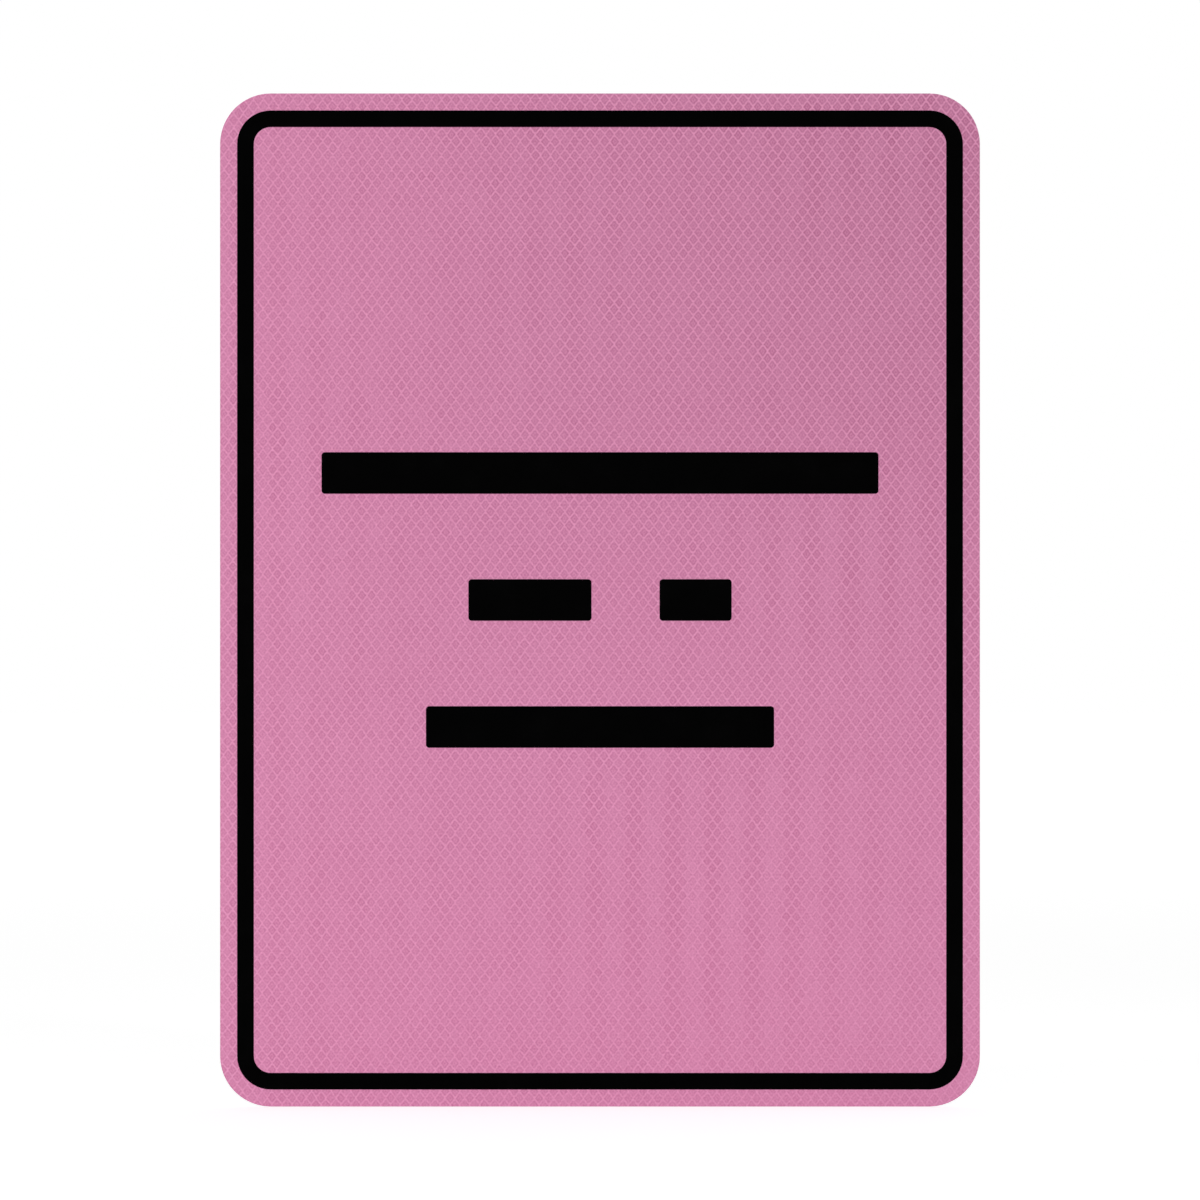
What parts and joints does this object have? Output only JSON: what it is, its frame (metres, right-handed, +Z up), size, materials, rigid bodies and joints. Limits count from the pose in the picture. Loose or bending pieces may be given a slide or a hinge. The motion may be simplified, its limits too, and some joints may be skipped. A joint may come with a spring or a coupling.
{
  "type": "novelty street sign",
  "caption": "Flat upright sign panel with round corners: aluminium plate, pink reflective sheeting, black border stripe and plain black bars in three rows where a message goes.",
  "frame": {"origin": "centre of the plate's bare back face", "axes": "+Z up the sign, +X to the right as seen from the front, +Y out of the back face, so the front looks along -Y"},
  "size_m": [0.4572, 0.0025, 0.6096],
  "materials": {
    "plate": "mill finish, with a fine straight rolling grain",
    "sheeting": "pink prismatic film with a lattice of paler diamond-shaped seal lines under a satin face",
    "black_film": "opaque black cut film, low sheen"
  },
  "bodies": {
    "root": {"sign_plate": "plate", "reflective_sheeting": "sheeting", "border_stripe": "black_film", "message_bar_top": "black_film", "message_bar_middle_left": "black_film", "message_bar_middle_right": "black_film", "message_bar_bottom": "black_film"}
  },
  "joints": []
}
